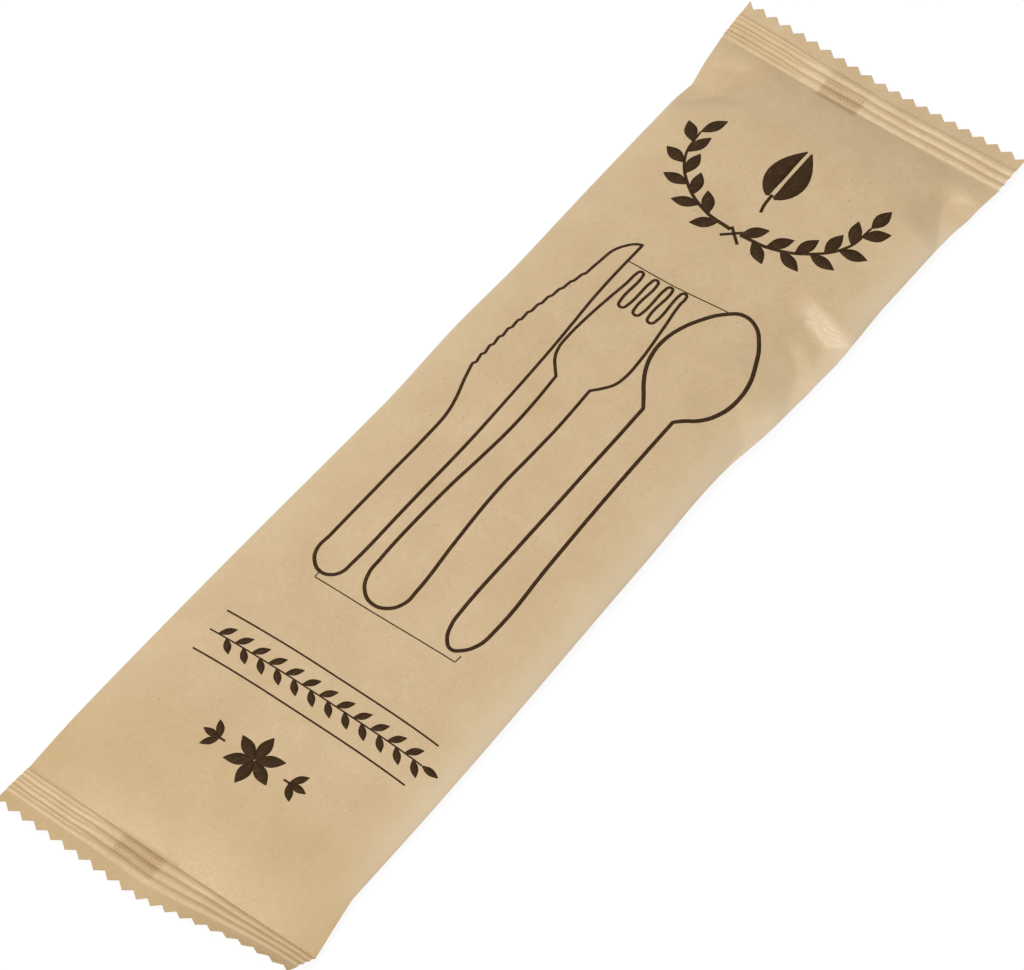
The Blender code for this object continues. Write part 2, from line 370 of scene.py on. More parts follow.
def back_y(x, across):
    """Places of the columns of the back: in the body, two of them follow the flap's root and edge."""
    even = middle_y(x) + across * half_width(x, across)
    lines = np.array([0, FIN_ROOT_COLUMN, FIN_EDGE_COLUMN, COLUMNS])
    places = np.concatenate(
        [even[:, :1], fin_root_y(x), fin_root_y(x) + FIN_WIDTH, even[:, -1:]], axis=1
    )
    fitted = np.empty_like(even)
    for first, last, low, high in zip(lines, lines[1:], places.T, places.T[1:]):
        run = slice(first, last + 1)
        share = (even[:, run] - even[:, first : first + 1]) / (
            even[:, last : last + 1] - even[:, first : first + 1]
        )
        fitted[:, run] = low[:, None] + (high - low)[:, None] * share
    return blend(even, fitted, eased(from_seal(x) / GATHER_RUN))


def back_point(x, flat_x, across, layer):
    """A point under the pack: on the back itself, or on the upper or lower face of the flap."""
    y = back_y(x, across)
    share = (y - middle_y(flat_x)) / half_width(flat_x, across)
    opening = back_opening(flat_x)
    base = back_height(flat_x, share, y)
    flap_low = base - (1 - opening) * FIN_THICKNESS
    past_root = np.clip((y - fin_root_y(flat_x)) / FIN_WIDTH, 0, 1)
    beyond = np.maximum(y - fin_root_y(flat_x) - FIN_WIDTH, 0)
    slit = blend(FIN_CLOSED, FIN_MOUTH * opening, past_root**2) + FIN_CLOSED
    lift = (FIN_THICKNESS + slit) * opening * (1 - eased(beyond / FIN_LIFT_RUN))
    heights = {
        "back_right": base,
        "back_left": base + lift,
        "flap_top": flap_low + FIN_THICKNESS - (1 - opening) * FIN_CLOSED,
        "flap_low": flap_low,
    }
    return along_place(flat_x, share), y, heights[layer]


def spread(start, stop, step):
    """Evenly spread values from start up to, but without, stop."""
    return np.linspace(start, stop, math.ceil((stop - start) / step), endpoint=False)


def skin_rows():
    """Distances along the flat pack of the rows of points, from the bottom end to the top end."""
    gathered = SEAL_DEPTH + GATHER_RUN
    gathers_again = 2 * HALF_LENGTH - gathered
    end = np.concatenate(
        [
            spread(0, TOOTH_DEPTH + CUT_MARGIN, MARGIN_STEP),
            spread(TOOTH_DEPTH + CUT_MARGIN, SEAL_DEPTH, RIB_STEP),
            spread(SEAL_DEPTH, gathered, GATHER_STEP),
        ]
    )
    body = spread(gathered, gathers_again, BODY_STEP)
    rows = [end, body, [gathers_again], 2 * HALF_LENGTH - end[::-1]]
    return np.concatenate(rows) - HALF_LENGTH


def cut_teeth(x):
    """Each row's distances along, column by column: the end rows run along the cut teeth."""
    phase = np.arange(COLUMNS + 1) / COLUMNS_PER_TOOTH % 1
    inset = TOOTH_DEPTH * (1 - np.abs(1 - 2 * phase))
    from_tips = HALF_LENGTH - np.abs(x)
    near = np.clip(1 - from_tips / TOOTH_FADE, 0, 1)
    return np.sign(x) * (HALF_LENGTH - from_tips - inset * near)


def kraft_skin():
    """The paper as one closed skin: a loop of points round each row, and a cap at each end."""
    x = skin_rows()[:, None]
    even = np.linspace(-1, 1, COLUMNS + 1)[None, :]
    close = np.sign(even) * (1 - (1 - np.abs(even)) ** COLUMN_CROWDING)
    across = blend(even, close, eased(from_seal(x) / GATHER_RUN))
    flat_x = cut_teeth(x)
    every = range(COLUMNS + 1)
    stretches = (
        ("front", every),
        ("back_left", range(COLUMNS, FIN_ROOT_COLUMN - 1, -1)),
        ("flap_top", range(FIN_ROOT_COLUMN + 1, FIN_EDGE_COLUMN + 1)),
        ("flap_low", range(FIN_EDGE_COLUMN, FIN_ROOT_COLUMN - 1, -1)),
        ("back_right", range(FIN_ROOT_COLUMN - 1, -1, -1)),
    )
    points, place = [], {}
    for layer, columns in stretches:
        if layer == "front":
            faces = front_point(flat_x, across)
        else:
            faces = back_point(x, flat_x, across, layer)
        for column in columns:
            place[layer, column] = len(points)
            points.append(np.stack([axis[:, column] for axis in faces], axis=1))
    loop = len(points)
    points = np.stack(points, axis=1)
    return points, faces_of_skin(len(x), loop, place)


def faces_of_skin(rows, loop, place):
    corner = np.arange(rows - 1)[:, None] * loop + np.arange(loop)[None, :]
    beside = np.arange(rows - 1)[:, None] * loop + np.roll(np.arange(loop), -1)[None, :]
    sides = np.stack([corner, corner + loop, beside + loop, beside], axis=2).reshape(-1, 4)

    def back(column):
        return place["back_left" if column >= FIN_ROOT_COLUMN else "back_right", column]

    def flap_top(column):
        return place.get(("flap_top", column), place["back_left", FIN_ROOT_COLUMN])

    cap = [
        (place["front", c], place["front", c + 1], back(c + 1), back(c)) for c in range(COLUMNS)
    ]
    cap += [
        (flap_top(c), flap_top(c + 1), place["flap_low", c + 1], place["flap_low", c])
        for c in range(FIN_ROOT_COLUMN, FIN_EDGE_COLUMN)
    ]
    cap.append(
        (back(FIN_ROOT_COLUMN - 1), back(FIN_ROOT_COLUMN), place["flap_low", FIN_ROOT_COLUMN])
    )
    top = [tuple((rows - 1) * loop + i for i in reversed(face)) for face in cap]
    return sides.tolist() + cap + top


def add_node(tree, kind, inputs=None, **settings):
    """Adds a node; inputs gives each socket, by name or number, a value or an output to link."""
    node = tree.nodes.new(kind)
    for name, value in settings.items():
        setattr(node, name, value)
    for key, value in (inputs or {}).items():
        if isinstance(value, bpy.types.NodeSocket):
            tree.links.new(value, node.inputs[key])
        else:
            node.inputs[key].default_value = value
    return node


def linear(colour):
    """A colour written as six sRGB hex digits, as linear red, green, blue and alpha."""
    channels = [int(colour[i : i + 2], 16) / 255 for i in (0, 2, 4)]
    return [c / 12.92 if c <= 0.04045 else ((c + 0.055) / 1.055) ** 2.4 for c in channels] + [1.0]


def fibre_strands(tree, where, heading, length, width, first, full):
    """A mask of thin strands that run one way: noise stretched to the strands' size."""
    turned = add_node(
        tree, "ShaderNodeVectorRotate", {"Vector": where, "Angle": math.radians(heading)},
        rotation_type="Z_AXIS",
    )
    shrunk = add_node(
        tree, "ShaderNodeVectorMath", {0: turned.outputs[0], 1: (1 / length, 1 / width, 1 / width)},
        operation="MULTIPLY",
    )
    noise = add_node(
        tree, "ShaderNodeTexNoise",
        {"Vector": shrunk.outputs[0], "Scale": 1.0, "Detail": 1.0, "Roughness": 0.4},
    )
    mask = add_node(
        tree, "ShaderNodeMapRange", {"Value": noise.outputs[0], "From Min": first, "From Max": full}
    )
    return mask.outputs[0]


def tinted(tree, colour, mask, strength, tint):
    """The colour with a tint laid over it where the mask is."""
    amount = add_node(tree, "ShaderNodeMath", {0: mask, 1: strength}, operation="MULTIPLY")
    mix = add_node(
        tree, "ShaderNodeMix", {0: amount.outputs[0], 6: colour, 7: linear(tint)}, data_type="RGBA"
    )
    return mix.outputs[2]


# The paper's colours, and how strongly each tint covers what is under it
KRAFT_DEEP, KRAFT_PALE = "D5B88E", "DDC299"
MOTTLE_TINT, MOTTLE_STRENGTH = "CDAE82", 0.35
BARK_TINT, BARK_STRENGTH = "8D6B42", 0.6
# Painted sheen: a lighter tint over the strips inside the side folds
PAINTED_SHEEN_TINT, PAINTED_SHEEN_STRENGTH = "E9D0A6", 0.45
# Painted highlight: a whiter tint right along the side folds
PAINTED_HIGHLIGHT_TINT, PAINTED_HIGHLIGHT_STRENGTH = "EAD9C1", 0.36
PAINTED_HIGHLIGHT_NARROWNESS = 6.0
BROWNED_TINT = "CBA76A"
PRESSED_TINT, PRESSED_STRENGTH = "E2C79A", 0.5
SEAM_TINT, SEAM_STRENGTH = "A37E4B", 0.66
SEAM_CHECKS, SEAM_GROUND = 0.30, 0.55  # the mark is an even brown with fine checks over it
CHECK_SIZE = 0.45 * MM

# Fibres: heading in degrees, length and width in millimetres, tint and strength
FIBRES = (
    (14, 2.6, 0.13, "EFDFC0", 0.26),
    (77, 2.1, 0.12, "BA9868", 0.22),
    (122, 3.0, 0.14, "ECDAB8", 0.24),
    (163, 2.3, 0.12, "B49262", 0.20),
)

# The ink's colours, and how strongly the paper shows through it on the fibres
INK_DARK, INK_LIGHT = "33200A", "432C10"
THIN_INK_TINT, THIN_INK_STRENGTH = "6E5434", 0.5


def unbleached_kraft():
    """Unbleached machine-glazed kraft: long brown wood fibres laid every way, flecked with bark."""
    material = bpy.data.materials.new("unbleached_kraft_paper")
    material.use_nodes = True
    tree = material.node_tree
    shader = tree.nodes["Principled BSDF"]
    where = add_node(tree, "ShaderNodeTexCoord").outputs["Object"]
    # Cloudy formation of the sheet, about 9 mm and 1.5 mm across
    cloud = add_node(
        tree, "ShaderNodeTexNoise", {"Vector": where, "Scale": 1 / (9 * MM), "Detail": 2.0}
    ).outputs[0]
    mottle = add_node(
        tree, "ShaderNodeTexNoise",
        {"Vector": where, "Scale": 1 / (1.5 * MM), "Detail": 4.0, "Roughness": 0.6},
    ).outputs[0]
    cloudy = add_node(
        tree, "ShaderNodeMapRange", {"Value": cloud, "From Min": 0.3, "From Max": 0.7}
    ).outputs[0]
    mottled = add_node(
        tree, "ShaderNodeMapRange", {"Value": mottle, "From Min": 0.32, "From Max": 0.68}
    ).outputs[0]
    colour = tinted(tree, linear(KRAFT_DEEP), cloudy, 1.0, KRAFT_PALE)
    colour = tinted(tree, colour, mottled, MOTTLE_STRENGTH, MOTTLE_TINT)
    # Fibres are 2 to 3 mm long. Real ones are 0.03 mm wide, too fine to show, so they are coarser
    strands = []
    for heading, length, width, tint, strength in FIBRES:
        strand = fibre_strands(tree, where, heading, length * MM, width * MM, 0.60, 0.72)
        strands.append(strand)
        colour = tinted(tree, colour, strand, strength, tint)
    # Specks of bark, 0.4 to 1 mm long
    speck = fibre_strands(tree, where, 41, 0.9 * MM, 0.28 * MM, 0.735, 0.79)
    colour = tinted(tree, colour, speck, BARK_STRENGTH, BARK_TINT)
    # Painted sheen and highlight: lighter strips inside the side folds, whitest at the folds.
    # Where the hot jaws have pressed the paper, it is a little yellower, and browner over the seam
    painted_sheen = add_node(tree, "ShaderNodeAttribute", attribute_name="painted_fold_sheen").outputs["Fac"]
    colour = tinted(tree, colour, painted_sheen, PAINTED_SHEEN_STRENGTH, PAINTED_SHEEN_TINT)
    # Painted highlight: the painted sheen turns whiter right at the side folds
    painted_highlight = add_node(
        tree, "ShaderNodeMath", {0: painted_sheen, 1: PAINTED_HIGHLIGHT_NARROWNESS}, operation="POWER"
    ).outputs[0]
    colour = tinted(tree, colour, painted_highlight, PAINTED_HIGHLIGHT_STRENGTH, PAINTED_HIGHLIGHT_TINT)
    browned = add_node(tree, "ShaderNodeAttribute", attribute_name="browned").outputs["Fac"]
    colour = tinted(tree, colour, browned, 1.0, BROWNED_TINT)
    pressed = add_node(tree, "ShaderNodeAttribute", attribute_name="pressed").outputs["Fac"]
    unevenly = add_node(
        tree, "ShaderNodeMath", {0: pressed, 1: cloudy}, operation="MULTIPLY"
    ).outputs[0]
    colour = tinted(tree, colour, unevenly, PRESSED_STRENGTH, PRESSED_TINT)
    checks = add_node(tree, "ShaderNodeTexChecker", {"Vector": where, "Scale": 1 / CHECK_SIZE})
    checked = add_node(
        tree, "ShaderNodeMath", {0: checks.outputs["Fac"], 1: SEAM_CHECKS, 2: SEAM_GROUND},
        operation="MULTIPLY_ADD",
    ).outputs[0]
    patch = add_node(tree, "ShaderNodeAttribute", attribute_name="seam_patch").outputs["Fac"]
    marked = add_node(
        tree, "ShaderNodeMath", {0: patch, 1: checked}, operation="MULTIPLY"
    ).outputs[0]
    colour = tinted(tree, colour, marked, SEAM_STRENGTH, SEAM_TINT)
    tree.links.new(colour, shader.inputs["Base Color"])
    relief = add_node(
        tree, "ShaderNodeMath", {0: strands[0], 1: strands[1]}, operation="ADD"
    ).outputs[0]
    relief = add_node(
        tree, "ShaderNodeMath", {0: relief, 1: strands[2]}, operation="ADD"
    ).outputs[0]
    relief = add_node(
        tree, "ShaderNodeMath", {0: mottle, 1: 2.0, 2: relief}, operation="MULTIPLY_ADD"
    ).outputs[0]
    bump = add_node(
        tree, "ShaderNodeBump", {"Height": relief, "Strength": 0.35, "Distance": 0.05 * MM}
    )
    tree.links.new(bump.outputs[0], shader.inputs["Normal"])
    rough = add_node(
        tree, "ShaderNodeMapRange",
        {"Value": mottle, "From Min": 0.3, "From Max": 0.7, "To Min": 0.29, "To Max": 0.37},
    )
    tree.links.new(rough.outputs[0], shader.inputs["Roughness"])
    shader.inputs["IOR"].default_value = 1.5
    shader.inputs["Specular IOR Level"].default_value = 0.5
    return material


def flexo_ink():
    """Water-based flexographic ink: matt dark brown, thinner where a paper fibre stands up."""
    material = bpy.data.materials.new("dark_brown_flexo_ink")
    material.use_nodes = True
    tree = material.node_tree
    shader = tree.nodes["Principled BSDF"]
    where = add_node(tree, "ShaderNodeTexCoord").outputs["Object"]
    thin = fibre_strands(tree, where, 14, 1.6 * MM, 0.14 * MM, 0.56, 0.74)
    uneven = add_node(
        tree, "ShaderNodeTexNoise", {"Vector": where, "Scale": 1 / (0.8 * MM), "Detail": 3.0}
    ).outputs[0]
    colour = tinted(tree, linear(INK_DARK), uneven, 1.0, INK_LIGHT)
    colour = tinted(tree, colour, thin, THIN_INK_STRENGTH, THIN_INK_TINT)
    tree.links.new(colour, shader.inputs["Base Color"])
    bump = add_node(
        tree, "ShaderNodeBump", {"Height": thin, "Strength": 0.3, "Distance": 0.03 * MM}
    )
    tree.links.new(bump.outputs[0], shader.inputs["Normal"])
    shader.inputs["Roughness"].default_value = 0.7
    shader.inputs["IOR"].default_value = 1.5
    shader.inputs["Specular IOR Level"].default_value = 0.2
    return material


def new_mesh_object(name, points, faces, material):
    mesh = bpy.data.meshes.new(name)
    mesh.from_pydata(points, [], faces)
    mesh.materials.append(material)
    obj = bpy.data.objects.new(name, mesh)
    bpy.context.scene.collection.objects.link(obj)
    return obj


def make_paper():
    """The finished skin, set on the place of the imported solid. Also returns how far it was moved."""
    points, faces = kraft_skin()
    low, high = points.min(axis=(0, 1)), points.max(axis=(0, 1))
    shift = np.array([-(low[0] + high[0]) / 2, -(low[1] + high[1]) / 2, -low[2]])
    shift += np.array([(PACK_LOW.x + PACK_HIGH.x) / 2, (PACK_LOW.y + PACK_HIGH.y) / 2, PACK_LOW.z])
    flat = (points + shift).reshape(-1, 3)
    paper = new_mesh_object("kraft_pack", flat.tolist(), faces, unbleached_kraft())
    paper.data.shade_smooth()
    paper.data.set_sharp_from_angle(angle=SOFT_EDGE)
    x, y = points[..., 0], points[..., 1]
    pressed = in_band(x)
    across = (y - middle_y(x)) / half_width(x, np.sign(y))
    fine = pressed * fine_share(across)
    to_bottom = eased((-BROWNER_FROM - x) / BROWNER_RUN)
    browned = np.maximum(FINE_BROWNING * fine, END_BROWNING * to_bottom)
    in_from_fold = half_width(x, np.sign(y)) - np.abs(y - middle_y(x))
    # Painted sheen: lighter colour in the strips inside the side folds, weaker on the left
    hollow = eased(1 - in_from_fold / SHEEN_STRIP_WIDTH) * side_opening(x) * np.where(y > 0, LEFT_SHEEN_SHARE, 1)
    for name, values in (
        ("pressed", pressed), ("seam_patch", seam_patch(x, y)), ("painted_fold_sheen", hollow),
        ("browned", browned),
    ):
        attribute = paper.data.attributes.new(name, "FLOAT", "POINT")
        attribute.data.foreach_set("value", values.astype(np.float32).ravel())
    return paper, Vector(shift)


# The print: line widths, how far ink stands off the paper, and how finely lines are divided
HANDLE_LINE = 0.79 * MM
HEAD_LINE = 0.68 * MM
BOWL_LINE = 0.88 * MM
NAPKIN_LINE = 0.26 * MM
INK_HEIGHT = 0.02 * MM
LINE_SPACING = 0.35 * MM
SPRIG_LEAF_POINTS = 15
SPRIG_LEAF_ENDS = 0.1 * MM  # width of a sprig's leaf at its base and its tip
RAY_START = 50.0 * MM  # rays that find the paper start at this height


def ink_tree(material):
    """Sweeps a flat ribbon along each line, as wide as the line's radius, and lays it on the paper."""
    tree = bpy.data.node_groups.new("Ink on paper", "GeometryNodeTree")
    sockets = {}
    for name, kind in (
        ("Lines", "NodeSocketGeometry"), ("Paper", "NodeSocketObject"),
        ("Spacing", "NodeSocketFloat"), ("Ink height", "NodeSocketFloat"),
    ):
        sockets[name] = tree.interface.new_socket(name, in_out="INPUT", socket_type=kind).identifier
    tree.interface.new_socket("Print", in_out="OUTPUT", socket_type="NodeSocketGeometry")
    given = add_node(tree, "NodeGroupInput").outputs
    even = add_node(
        tree, "GeometryNodeResampleCurve", {"Curve": given["Lines"], "Length": given["Spacing"]},
        mode="LENGTH",
    )
    level = add_node(
        tree, "GeometryNodeSetCurveNormal", {"Curve": even.outputs[0]}, mode="Z_UP"
    )
    section = add_node(
        tree, "GeometryNodeCurvePrimitiveQuadrilateral", {"Width": 1.0, "Height": 1.0}
    )
    section = add_node(
        tree, "GeometryNodeSubdivideCurve", {"Curve": section.outputs[0], "Cuts": 1}
    )
    width = add_node(tree, "GeometryNodeInputRadius")
    ribbon = add_node(
        tree, "GeometryNodeCurveToMesh",
        {"Curve": level.outputs[0], "Profile Curve": section.outputs[0],
         "Scale": width.outputs[0], "Fill Caps": True},
    )
    place = add_node(
        tree, "ShaderNodeSeparateXYZ", {0: add_node(tree, "GeometryNodeInputPosition").outputs[0]}
    )
    above = add_node(
        tree, "ShaderNodeCombineXYZ", {0: place.outputs[0], 1: place.outputs[1], 2: RAY_START}
    )
    paper = add_node(tree, "GeometryNodeObjectInfo", {"Object": given["Paper"]})
    under = add_node(
        tree, "GeometryNodeRaycast",
        {"Target Geometry": paper.outputs["Geometry"], "Source Position": above.outputs[0],
         "Ray Direction": (0, 0, -1), "Ray Length": 2 * RAY_START},
    )
    side = add_node(tree, "ShaderNodeMath", {0: place.outputs[2]}, operation="SIGN")
    proud = add_node(
        tree, "ShaderNodeMath", {0: side.outputs[0], 1: given["Ink height"]}, operation="MULTIPLY"
    )
    lift = add_node(tree, "ShaderNodeCombineXYZ", {2: proud.outputs[0]})
    laid = add_node(
        tree, "GeometryNodeSetPosition",
        {"Geometry": ribbon.outputs[0], "Position": under.outputs["Hit Position"],
         "Offset": lift.outputs[0]},
    )
    real = add_node(tree, "GeometryNodeRealizeInstances", {0: laid.outputs[0]})
    inked = add_node(
        tree, "GeometryNodeSetMaterial", {"Geometry": real.outputs[0], "Material": material}
    )
    add_node(tree, "NodeGroupOutput", {0: inked.outputs[0]})
    return tree, sockets


def leaf_tree():
    """Sets leaves along each line, on alternate sides, with one at its tip. Each is a line too."""
    tree = bpy.data.node_groups.new("Leaves along a line", "GeometryNodeTree")
    sockets = {}
    for name, kind in (
        ("Stem", "NodeSocketGeometry"), ("Spacing", "NodeSocketFloat"),
        ("Leaf length", "NodeSocketFloat"), ("Leaf width", "NodeSocketFloat"),
        ("Leaf angle", "NodeSocketFloat"),
    ):
        sockets[name] = tree.interface.new_socket(name, in_out="INPUT", socket_type=kind).identifier
    tree.interface.new_socket("Lines", in_out="OUTPUT", socket_type="NodeSocketGeometry")
    given = add_node(tree, "NodeGroupInput").outputs
    tip = add_node(tree, "ShaderNodeCombineXYZ", {0: given["Leaf length"]})
    leaf = add_node(tree, "GeometryNodeCurvePrimitiveLine", {"End": tip.outputs[0]})
    leaf = add_node(
        tree, "GeometryNodeResampleCurve", {"Curve": leaf.outputs[0], "Count": SPRIG_LEAF_POINTS},
        mode="COUNT",
    )
    along = add_node(tree, "GeometryNodeSplineParameter")
    bulge = add_node(
        tree, "ShaderNodeMath", {0: along.outputs["Factor"], 1: math.pi}, operation="MULTIPLY"
    )
    bulge = add_node(tree, "ShaderNodeMath", {0: bulge.outputs[0]}, operation="SINE")
    bulge = add_node(
        tree, "ShaderNodeMath",
        {0: bulge.outputs[0], 1: given["Leaf width"], 2: SPRIG_LEAF_ENDS}, operation="MULTIPLY_ADD",
    )
    leaf = add_node(
        tree, "GeometryNodeSetCurveRadius", {"Curve": leaf.outputs[0], "Radius": bulge.outputs[0]}
    )
    nodes = add_node(
        tree, "GeometryNodeCurveToPoints", {"Curve": given["Stem"], "Length": given["Spacing"]},
        mode="LENGTH",
    )
    count = add_node(
        tree, "GeometryNodeAttributeDomainSize", {0: nodes.outputs["Points"]},
        component="POINTCLOUD",
    )
    index = add_node(tree, "GeometryNodeInputIndex").outputs[0]
    last = add_node(tree, "ShaderNodeMath", {0: count.outputs[0], 1: 1.5}, operation="SUBTRACT")
    before_tip = add_node(
        tree, "ShaderNodeMath", {0: index, 1: last.outputs[0]}, operation="LESS_THAN"
    )
    other_side = add_node(tree, "ShaderNodeMath", {0: index, 1: 2.0}, operation="MODULO")
    turn = add_node(
        tree, "ShaderNodeMath", {0: other_side.outputs[0], 1: 2.0, 2: -1.0},
        operation="MULTIPLY_ADD",
    )
    turn = add_node(
        tree, "ShaderNodeMath", {0: turn.outputs[0], 1: before_tip.outputs[0]},
        operation="MULTIPLY",
    )
    turn = add_node(
        tree, "ShaderNodeMath", {0: turn.outputs[0], 1: given["Leaf angle"]}, operation="MULTIPLY"
    )
    facing = add_node(
        tree, "FunctionNodeAlignRotationToVector", {"Vector": nodes.outputs["Tangent"]},
        axis="X", pivot_axis="Z",
    )
    aside = add_node(tree, "ShaderNodeCombineXYZ", {2: turn.outputs[0]})
    facing = add_node(
        tree, "FunctionNodeRotateRotation",
        {"Rotation": facing.outputs[0], "Rotate By": aside.outputs[0]}, rotation_space="LOCAL",
    )
    off_base = add_node(tree, "ShaderNodeMath", {0: index, 1: 0.5}, operation="GREATER_THAN")
    leaves = add_node(
        tree, "GeometryNodeInstanceOnPoints",
        {"Points": nodes.outputs["Points"], "Selection": off_base.outputs[0],
         "Instance": leaf.outputs[0], "Rotation": facing.outputs[0]},
    )
    leaves = add_node(tree, "GeometryNodeRealizeInstances", {0: leaves.outputs[0]})
    both = add_node(tree, "GeometryNodeJoinGeometry", {0: leaves.outputs[0]})
    tree.links.new(given["Stem"], both.inputs[0])
    add_node(tree, "NodeGroupOutput", {0: both.outputs[0]})
    return tree, sockets


def add_line(curve, points, width, shift, closed=False):
    """Adds one printed line to a curve. It runs smoothly through its points, given in millimetres,
    and turns sharply at each one that is marked with a third value. width is one value or a list."""
    spline = curve.splines.new("BEZIER")
    spline.bezier_points.add(len(points) - 1)
    widths = width if isinstance(width, (list, tuple)) else [width] * len(points)
    for knot, (x, y, *corner), radius in zip(spline.bezier_points, points, widths):
        knot.co = (x * MM + shift.x, y * MM + shift.y, 0)
        knot.handle_left_type = knot.handle_right_type = "VECTOR" if corner else "AUTO"
        knot.radius = radius
    spline.use_cyclic_u = closed


def print_piece(name, paper, ink, leaves, draw, leaf=None):
    """Draws lines with draw(curve), adds leaves where leaf gives their sizes, and bakes the print."""
    curve = bpy.data.curves.new(name + "_lines", "CURVE")
    curve.dimensions = "3D"
    lines = bpy.data.objects.new(name + "_lines", curve)
    bpy.context.scene.collection.objects.link(lines)
    draw(curve)
    if leaf:
        tree, sockets = leaves
        sprouting = lines.modifiers.new("Leaves", "NODES")
        sprouting.node_group = tree
        for key, value in leaf.items():
            sprouting[sockets[key]] = value
    tree, sockets = ink
    laying = lines.modifiers.new("Ink", "NODES")
    laying.node_group = tree
    laying[sockets["Paper"]] = paper
    laying[sockets["Spacing"]] = LINE_SPACING
    laying[sockets["Ink height"]] = INK_HEIGHT
    graph = bpy.context.evaluated_depsgraph_get()
    mesh = bpy.data.meshes.new_from_object(lines.evaluated_get(graph))
    mesh.name = name
    bpy.data.objects.remove(lines, do_unlink=True)
    piece = bpy.data.objects.new(name, mesh)
    bpy.context.scene.collection.objects.link(piece)
    return piece


# Outlines of the printed cutlery, in millimetres along and across the pack
KNIFE_BACK = (
    (54.9, 13.2, 1), (40, 13.3), (30, 12.7), (20, 12.15), (8, 11.85), (-2, 11.8), (-20, 12.4),
    (-41, 13.3),
)
KNIFE_BUTT = ((-43.9, 13.75), (-45.7, 15.4), (-46.05, 17.4), (-44.9, 19.6), (-42.3, 21.15))
KNIFE_EDGE = ((-38, 21.0), (-20, 20.25), (-9, 19.85), (-2, 19.9), (2, 20.7), (7, 22.3))
KNIFE_TIP = ((46.9, 17.9), (50.6, 17.3), (53.0, 15.85), (54.3, 14.5))
SERRATED_FROM, SERRATED_TO = 11.0, 44.5
SERRATION_TOP, SERRATION_FALL = 23.4, 5.45
SERRATIONS = 12
SERRATION_DEPTH = 0.5
KNIFE_NARROWS = (-10, 14)  # where the handle's line thins to the blade's


def serrations():
    """The toothed part of the knife's edge: each tooth rises slowly and drops back."""
    pitch = (SERRATED_TO - SERRATED_FROM) / SERRATIONS
    for i in range(SERRATIONS):
        for step, drop in ((0.0, 0.0), (0.24, SERRATION_DEPTH)):
            x = SERRATED_FROM + pitch * (i + step)
            share = (x - SERRATED_FROM) / (SERRATED_TO - SERRATED_FROM)
            yield (x, SERRATION_TOP - SERRATION_FALL * share**2.1 - drop * (1 - 0.5 * share), 1)


def line_widths(points, start, end):
    """Line width at each point: the handle's before start, the head's after end."""
    return [blend(HANDLE_LINE, HEAD_LINE, eased((p[0] - start) / (end - start))) for p in points]


def draw_knife(curve, shift):
    outline = [*KNIFE_BACK, *KNIFE_BUTT, *KNIFE_EDGE, *serrations(), *KNIFE_TIP]
    add_line(curve, outline, line_widths(outline, *KNIFE_NARROWS), shift, closed=True)


FORK_LOWER = (
    (47, -2.0), (40, -2.85), (30, -3.9), (26, -3.95), (22.8, -3.35), (20.7, -2.05), (18.6, -0.3, 1),
    (9, -0.5), (-1, -0.15), (-11, 0.25), (-26, -0.35), (-39, -1.1),
)
FORK_BUTT = ((-42.6, -0.8), (-45.4, 1.3), (-46.2, 4.3), (-44.8, 7.2), (-41.4, 9.05))
FORK_UPPER = (
    (-37, 9.3), (-26, 9.05), (-16, 8.55), (-7, 7.65), (2, 6.95), (9, 6.9), (17.5, 7.3, 1),
    (19.1, 8.7), (21.1, 10.25), (23.7, 11.25), (27, 11.5), (32, 11.35), (40, 10.65), (45, 10.05),
)
TINES = ((49.2, 9.1), (49.2, 5.35), (49.4, 1.9), (49.8, -1.3))  # where each tine ends
TINE_HALF = 0.75
SLOT_ENDS = ((39.3, 7.45), (39.3, 3.85), (39.4, 0.35))
SLOT_HALF = 0.95
FORK_NARROWS = (-5, 18)


def tines():
    """The ends of the tines and the slots between them."""
    for i, (end, middle) in enumerate(TINES):
        yield from (
            (end - 1.2, middle + TINE_HALF), (end - 0.2, middle + 0.4), (end - 0.2, middle - 0.4),
            (end - 1.2, middle - TINE_HALF),
        )
        if i < len(SLOT_ENDS):
            root, centre = SLOT_ENDS[i]
            yield from (
                (root + 1.4, centre + SLOT_HALF), (root + 0.2, centre + 0.5),
                (root + 0.2, centre - 0.5), (root + 1.4, centre - SLOT_HALF),
            )


def draw_fork(curve, shift):
    outline = [*tines(), *FORK_LOWER, *FORK_BUTT, *FORK_UPPER]
    add_line(curve, outline, line_widths(outline, *FORK_NARROWS), shift, closed=True)


SPOON_UPPER = ((-38, -10.75), (-20, -11.0), (0, -11.2), (12, -11.3), (21.7, -11.25, 1))
SPOON_BOWL = (
    (24.2, -9.5), (27.0, -7.5), (30.2, -5.8), (33.7, -4.8), (37, -4.6), (41, -5.3), (46, -7.45),
    (50.4, -10.6), (52.7, -14.0), (52.3, -17.0), (50, -19.4), (45.5, -21.9), (39.5, -24.05),
    (35, -24.2), (30.5, -23.35), (26.6, -21.35), (24.2, -19.0),
)
SPOON_LOWER = ((22.8, -17.75, 1), (12, -17.75), (0, -17.85), (-18, -18.15), (-37, -18.55))
SPOON_BUTT = ((-41.3, -17.9), (-44.3, -15.9), (-45.2, -14.2), (-43.9, -12.3), (-40.6, -11.0))


def draw_spoon(curve, shift):
    outline = [*SPOON_UPPER, *SPOON_BOWL, *SPOON_LOWER, *SPOON_BUTT]
    widths = [BOWL_LINE if point in SPOON_BOWL else HANDLE_LINE for point in outline]
    add_line(curve, outline, widths, shift, closed=True)


